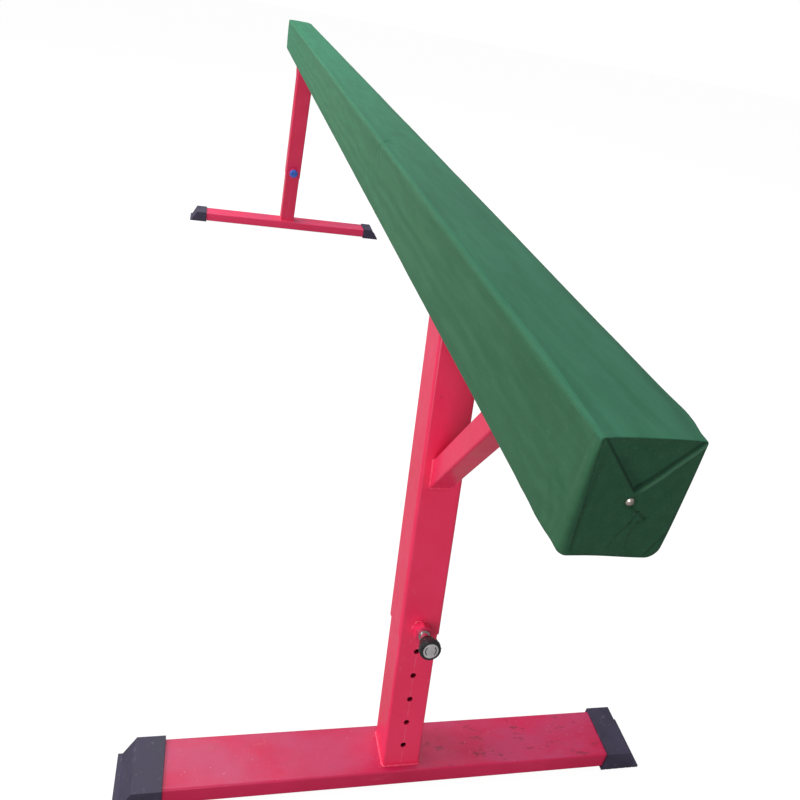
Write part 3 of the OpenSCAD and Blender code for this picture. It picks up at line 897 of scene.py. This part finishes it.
# the cloth's outer edge under the beam, lying one layer over the cloth below it
def addSeam(skin, rows):
    points = skin["points"]
    underside = skin["across"] // 2
    column = next(i for i in range(underside) if points[rows[0][i]][1] > coverShape["seamAt"])
    layer = coverShape["layer"]
    lapTo = coverShape["seamAt"] + coverShape["seamLap"]
    outer = []
    for row in rows[1:-1]:
        for index in row[:underside]:
            x, y, z = points[index]
            near = smoothStep(lapTo + 18 - y, 0, 18) if y > points[row[column]][1] else 0.0
            points[index] = (x, y, z + 0.5 * smoothStep(abs(y), 46, 38) - layer * near * 0.999)
        x, y, z = points[row[column]]
        wander = 0.5 * noise.noise(Vector((x / 45, 0, 5.0)))
        outer += addRing(skin, [(x, y - 1.5 + wander, z - layer)])
    return column, [rows[0][column], *outer, rows[-1][column]]


def joinRings(skin, here, there, side=1):
    count = len(here)
    for i in range(count):
        face = (here[i], there[i], there[(i + 1) % count], here[(i + 1) % count])
        skin["faces"].append(face if side > 0 else face[::-1])


# the last plain ring has half as many points as the rings over the end
def joinToEnd(skin, coarse, fine, side):
    count = len(coarse)
    for i in range(count):
        after = fine[(2 * i + 2) % len(fine)]
        face = (coarse[i], fine[2 * i], fine[2 * i + 1], after, coarse[(i + 1) % count])
        skin["faces"].append(face if side > 0 else face[::-1])


def closeEnd(skin, side, coarse, inset, endInset, folds):
    across, down = skin["across"], skin["down"]
    rings = endRings(side, across, down, inset, endInset)
    # the painted end shade grows over the rings that turn over the edge
    fine = [addRing(skin, ring, smoothStep(number, 4, 9)) for number, ring in enumerate(rings)]
    joinToEnd(skin, coarse, fine[0], side)
    for first, second in zip(fine[:-1], fine[1:]):
        joinRings(skin, first, second, side)
    grid, gridShades = endGrid(side, rings[-1], across, down, folds)
    skin["shades"] += [0.0] * (len(skin["points"]) - len(skin["shades"])) + gridShades
    rim = fine[-1]
    places = []
    for row in range(down + 1):
        line = []
        for column in range(across + 1):
            if row == 0:
                line.append(rim[column])
            elif column == across:
                line.append(rim[across + row])
            elif row == down:
                line.append(rim[2 * across + down - column])
            elif column == 0:
                line.append(rim[(len(rim) - row) % len(rim)])
            else:
                line += addRing(skin, [grid[row][column]], 1.0)
        places.append(line)
    for low, high in zip(places[:-1], places[1:]):
        for column in range(across):
            face = (low[column], low[column + 1], high[column + 1], high[column])
            skin["faces"].append(face if side > 0 else face[::-1])


def sleeve(name, across, down, inset, endInset, slotName, material, seam):
    skin = startSleeve(across, down)
    rows = addPlainRings(skin, stationList() if seam else evenStations(), inset, seam)
    seamColumn, outer = addSeam(skin, rows) if seam else (None, [])
    for number, (here, there) in enumerate(zip(rows[:-1], rows[1:])):
        joinRings(skin, here, there)
        if seam:
            last = len(skin["faces"]) - len(here) + seamColumn
            face = skin["faces"][last]
            skin["faces"][last] = (outer[number], outer[number + 1], face[2], face[3])
    for side, row in ((1, rows[-1]), (-1, rows[0])):
        closeEnd(skin, side, row, inset, endInset, seam)
    points = [(x, y + fullness(x, y, z), z) for x, y, z in skin["points"]]
    if seam:
        points = [(x, y, z - cornerSag(x, y, z)) for x, y, z in points]
    scaled = [(x * mm, y * mm, z * mm) for x, y, z in points]
    piece = makePiece(name, scaled, skin["faces"], "beam", material)
    if seam:
        # the painted shade and highlight of the folds, and the share of painted end shade, are stored on the
        # points
        for attribute, values in (("foldShadeAndHighlight", skin["shades"]), ("shadedEndPart", skin["ending"])):
            marks = piece.data.attributes.new(attribute, "FLOAT", "POINT")
            marks.data.foreach_set("value", values)
    return piece


def makeCover(finishes):
    cloth = sleeve("cloth_cover", coverShape["acrossCells"], coverShape["downCells"], 0.0, 0.0,
                   "cover_cloth", finishes["cover_cloth"], True)
    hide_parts("fabric_cover")
    padding = sleeve("padding", *coverShape["paddingCells"], coverShape["paddingInset"],
                     coverShape["paddingEndInset"], "foam", finishes["foam"], False)
    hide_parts("foam_wrap", "near_end_pad", "far_end_pad")
    print("cover and padding made:", len(cloth.data.polygons), "faces")


# ---- weld beads ----

beadShape = {
    "radius": 3.4 * mm,
    "pitch": 3.2 * mm,  # from one ripple to the next
    "ripple": 0.16,
    "uneven": 0.14,
    "braceProud": 1.4 * mm,  # keeps the bead clear of the post that slides inside
    "bossProud": 0.6 * mm,
    "bossRadius": 2.6 * mm,
    "nutRadius": 2.2 * mm,
    "sides": 8,
}


def tubeOutline(width, height, corner, count=4):
    outline = []
    for cornerY, cornerZ, start in ((1, 1, 0), (-1, 1, 90), (-1, -1, 180), (1, -1, 270)):
        for step in range(count + 1):
            angle = math.radians(start + 90 * step / count)
            outline.append((cornerY * (width / 2 - corner) + corner * math.cos(angle),
                            cornerZ * (height / 2 - corner) + corner * math.sin(angle)))
    return outline


# where a tube of that outline, running along a direction, meets a plane
def cutByPlane(outline, origin, direction, sideways, planePoint, planeNormal):
    other = direction.cross(sideways).normalized()
    cut = []
    for a, b in outline:
        point = origin + a * sideways + b * other
        cut.append(point + direction * ((planePoint - point).dot(planeNormal) / direction.dot(planeNormal)))
    return cut


def evenSteps(corners, step):
    corners = corners + corners[:1]
    lengths = [(b - a).length for a, b in zip(corners[:-1], corners[1:])]
    total = sum(lengths)
    count = max(12, int(total / step))
    path = []
    for number in range(count):
        gone = total * number / count
        index = 0
        while gone > lengths[index]:
            gone -= lengths[index]
            index += 1
        path.append(corners[index].lerp(corners[index + 1], gone / lengths[index]))
    return path, total / count


def weldBead(name, corners, body, finishes, radius=None):
    radius = radius or beadShape["radius"]
    path, step = evenSteps(corners, beadShape["pitch"] / 4)
    count = len(path)
    sides = beadShape["sides"]
    points = []
    for number, here in enumerate(path):
        tangent = (path[(number + 1) % count] - path[number - 1]).normalized()
        if number == 0:
            normal = tangent.orthogonal()
        else:
            normal = (normal - tangent * normal.dot(tangent)).normalized()
        binormal = tangent.cross(normal)
        wave = abs(math.sin(math.pi * number * step / beadShape["pitch"]))
        uneven = beadShape["uneven"] * noise.noise(here * 160)
        size = radius * (1 - beadShape["ripple"] * (1 - wave) + uneven)
        for side in range(sides):
            angle = 2 * math.pi * side / sides
            points.append(here + size * (math.cos(angle) * normal + math.sin(angle) * binormal))
    # the frame may come back turned, so the last ring joins the first where it fits best
    first, last = points[:sides], points[-sides:]
    shift = min(range(sides), key=lambda turn: (first[turn] - last[0]).length)
    faces = []
    for number in range(count):
        nextRing = (number + 1) % count
        offset = shift if nextRing == 0 else 0
        for side in range(sides):
            other = (side + 1) % sides
            onward = (nextRing * sides + (side + offset) % sides, nextRing * sides + (other + offset) % sides)
            faces.append((number * sides + side, number * sides + other, onward[1], onward[0]))
    return makePiece(name, points, faces, body, finishes["red_paint"])


legShape = {
    "lean": math.radians(14.5),
    "inner": 70 * mm,
    "innerCorner": 4 * mm,
    "outer": 75 * mm,
    "outerCorner": 6 * mm,
    "braceSide": 40 * mm,
    "braceCorner": 4 * mm,
    "braceAngle": math.radians(53.4),
    "braceAt": 576 * mm,
    "pinAt": 285 * mm,
    "bossAcross": 28 * mm,
    "discFront": 70.5 * mm,  # out from the inner post's face
    "clampAt": 309 * mm,
    "clampAcross": 24 * mm,
}


def hexagonOutline(acrossFlats):
    reach = acrossFlats / 2 / math.cos(math.pi / 6)
    return [(reach * math.cos(math.pi / 3 * i), reach * math.sin(math.pi / 3 * i)) for i in range(6)]


# where a leg stands on its base tube, its direction up the mast, and its outward direction
def legLines(end):
    side = ends[end]
    lean = legShape["lean"]
    low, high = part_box(end + "_base_tube")
    foot = Vector(((low.x + high.x) / 2, 0, high.z))
    up = Vector((-side * math.sin(lean), 0, math.cos(lean)))
    out = Vector((side * math.cos(lean), 0, math.sin(lean)))
    return foot, up, out


def makeWelds(finishes):
    y = Vector((0, 1, 0))
    z = Vector((0, 0, 1))
    inner = tubeOutline(legShape["inner"], legShape["inner"], legShape["innerCorner"])
    outer = tubeOutline(legShape["outer"], legShape["outer"], legShape["outerCorner"])
    brace = tubeOutline(legShape["braceSide"], legShape["braceSide"], legShape["braceCorner"])
    boss = hexagonOutline(legShape["bossAcross"])
    nut = hexagonOutline(legShape["clampAcross"])
    angle = legShape["braceAngle"]
    for end, side in ends.items():
        foot, up, out = legLines(end)
        outerFace = out * legShape["outer"] / 2
        plateUnder = Vector((0, 0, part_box(end + "_plate")[0].z))
        weldBead(end + "_base_weld", cutByPlane(inner, foot, up, y, foot, z), end + "_leg", finishes)
        weldBead(end + "_post_weld", cutByPlane(outer, foot, up, y, plateUnder, z), "beam", finishes)
        along = Vector((side * math.cos(angle), 0, math.sin(angle)))
        root = foot + outerFace + up * legShape["braceAt"]
        proud = root + out * beadShape["braceProud"]
        weldBead(end + "_brace_weld", cutByPlane(brace, root, along, y, proud, out), "beam", finishes)
        weldBead(end + "_brace_top_weld", cutByPlane(brace, root, along, y, plateUnder, z), "beam", finishes)
        bossRoot = foot + up * legShape["pinAt"] + outerFace
        proud = bossRoot + out * beadShape["bossProud"]
        weldBead(end + "_boss_weld", cutByPlane(boss, bossRoot, out, y, proud, out), "beam", finishes,
                 beadShape["bossRadius"])
        nutRoot = foot + up * legShape["clampAt"] - outerFace
        weldBead(end + "_clamp_weld", cutByPlane(nut, nutRoot, out, y, nutRoot, out), "beam", finishes,
                 beadShape["nutRadius"])
    print("weld beads made")


# ---- springs, feet, boss and the parts kept from the frame ----


def makeSprings(finishes):
    for end in ends:
        node = end + "_pin_spring"
        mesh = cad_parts[node].data.copy()
        mesh.materials.clear()
        mesh.materials.append(finishes["spring_wire"])
        piece = bpy.data.objects.new(end + "_coil_spring", mesh)
        bpy.context.scene.collection.objects.link(piece)
        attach(piece, "beam")
        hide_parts(node)
        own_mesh(piece)
    print("springs made")


discMarks = {
    "radius": 9.3 * mm,
    "width": 2.2 * mm,
    "grooveDepth": 1 * mm,
    "lift": 0.15 * mm,  # how far off the floor of the grooves they lie
    "half": 48,  # degrees either side of level that each arc covers
    "steps": 24,
}


# dark paint that has settled in the two curved grooves of a disc
def makeDiscMarks(finishes):
    grooveFloor = legShape["inner"] / 2 + legShape["discFront"] - discMarks["grooveDepth"]
    for end in ends:
        foot, up, out = legLines(end)
        middle = foot + up * legShape["pinAt"] + out * (grooveFloor + discMarks["lift"])
        points = []
        faces = []
        for half in (0, 180):
            for step in range(discMarks["steps"] + 1):
                share = 2 * step / discMarks["steps"] - 1
                angle = math.radians(half + discMarks["half"] * share)
                spoke = Vector((0, math.cos(angle), 0)) + up * math.sin(angle)
                for reach in (-0.42, 0.42):
                    points.append(middle + spoke * (discMarks["radius"] + reach * discMarks["width"]))
                if step:
                    last = len(points) - 4
                    faces.append((last, last + 1, last + 3, last + 2))
        makePiece(end + "_disc_marks", points, faces, end + "_grip", finishes["black_grip"])
    print("disc marks made")


# how far each part's sharp edges are rounded
softEdges = {
    "foot": 1.8 * mm,
    "boss": 0.9 * mm,
    "nut": 0.7 * mm,
    "plate": 0.8 * mm,
    "timber": 3.5 * mm,
}


def makeFeet(finishes):
    rubber = finishes["foot_rubber"]
    for end in ends:
        for side in ("left", "right"):
            node = f"{end}_{side}_foot"
            name = node.replace("foot", "rubber_foot")
            softCopy(node, name, end + "_leg", rubber, softEdges["foot"], 3)
    print("rubber feet made")


def makeHardware(finishes):
    paint = finishes["red_paint"]
    for end in ends:
        for node, name, edge in (("_pin_boss", "_hex_boss", "boss"), ("_clamp_nut", "_hex_nut", "nut"),
                                 ("_plate", "_steel_plate", "plate")):
            softCopy(end + node, end + name, "beam", paint, softEdges[edge], 2)
    softCopy("timber_core", "timber_beam", "beam", finishes["timber"], softEdges["timber"], 3)
    print("bosses, nuts, plates and timber made")


# what each part of the frame is finished with, by a word in its name; the first that fits is used
keptFinish = {
    "fabric_cover": "cover_cloth",
    "foam_wrap": "foam",
    "end_pad": "foam",
    "timber_core": "timber",
    "tack": "brass_tack",
    "staples": "staple_wire",
    "screws": "zinc_screws",
    "plate": "red_paint",
    "outer_post": "red_paint",
    "inner_post": "red_paint_scored",
    "brace": "red_paint",
    "base_tube": "red_paint_cross",
    "foot": "foot_rubber",
    "pin_boss": "red_paint",
    "pin_barrel": "plated_barrel",
    "pin_spring": "spring_wire",
    "lock_pin": "pin_steel",
    "clamp_nut": "red_paint",
    "clamp_screw": "pin_steel",
    "clamp_knob": "blue_grip",
    "knob_disc": "disc_metal",
    "knob": "black_grip",
}


def finishKeptParts(finishes):
    for name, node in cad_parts.items():
        finish = next(value for key, value in keptFinish.items() if key in name)
        node.data.materials.clear()
        node.data.materials.append(finishes[finish])
    print("finishes given to the frame's parts")


makeCamera()
makeStudio()
print("camera, floor and lamps made")
finishes = makeFinishes()
makeCover(finishes)
makeWelds(finishes)
makeFeet(finishes)
makeDiscMarks(finishes)
makeSprings(finishes)
makeHardware(finishes)
finishKeptParts(finishes)
